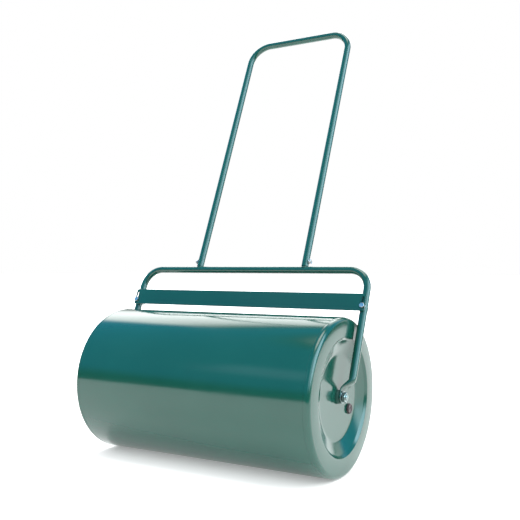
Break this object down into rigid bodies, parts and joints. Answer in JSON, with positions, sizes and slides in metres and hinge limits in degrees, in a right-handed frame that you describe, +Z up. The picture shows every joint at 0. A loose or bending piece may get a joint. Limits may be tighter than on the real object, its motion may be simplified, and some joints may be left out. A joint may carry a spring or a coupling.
{
  "type": "lawn roller",
  "caption": "Push-along garden lawn roller with a water-filled steel drum, bent-tube frame, bolt-on scraper blade and long loop handle.",
  "frame": {"origin": "on the ground under the middle of the axle", "axes": "+X along the axle towards the filler plug's end, +Y backwards, the way the handle leans, +Z up"},
  "size_m": [0.6116, 0.538, 1.0232],
  "materials": {
    "drum_paint": "glossy dark green enamel",
    "frame_paint": "glossy dark green powder coat",
    "zinc": "zinc plate",
    "bare_steel": "plain mill finish",
    "nylon": "dark green moulded nylon",
    "plug_plastic": "dark warm grey moulded plastic",
    "rubber": "matte"
  },
  "bodies": {
    "frame": {"lower_frame": "frame_paint", "handle": "frame_paint", "axle_rod": "zinc", "handle_spigot_left": "frame_paint", "handle_spigot_right": "frame_paint", "handle_screw_left": "zinc", "handle_screw_right": "zinc", "handle_washer_left": "zinc", "handle_washer_right": "zinc", "thrust_washer_left": "nylon", "thrust_washer_right": "nylon", "axle_washer_left": "zinc", "axle_washer_right": "zinc", "axle_nut_left": "zinc", "axle_nut_right": "zinc", "scraper_bolt_left": "zinc", "scraper_bolt_right": "zinc", "scraper_spacer_left": "zinc", "scraper_spacer_right": "zinc", "scraper_washer_left": "zinc", "scraper_washer_right": "zinc", "scraper_nut_left": "zinc", "scraper_nut_right": "zinc"},
    "drum": {"drum_barrel": "drum_paint", "end_plate_left": "drum_paint", "end_plate_right": "drum_paint", "axle_sleeve": "bare_steel", "axle_bush_left": "nylon", "axle_bush_right": "nylon", "filler_neck": "bare_steel"},
    "scraper": {"scraper_blade": "frame_paint"},
    "filler_cap": {"filler_plug": "plug_plastic", "filler_seal": "rubber"}
  },
  "joints": [
    {"name": "drum_spin", "type": "hinge", "parent": "frame", "child": "drum", "pos_m": [0, 0, 0.16], "axis": [1, 0, 0], "continuous": true},
    {"name": "scraper_adjust", "type": "slide", "parent": "frame", "child": "scraper", "axis": [0, -0.3971, -0.9178], "range_m": [0, 0.017]},
    {"name": "filler_plug_out", "type": "slide", "parent": "drum", "child": "filler_cap", "axis": [1, 0, 0], "range_m": [0, 0.0085]}
  ]
}
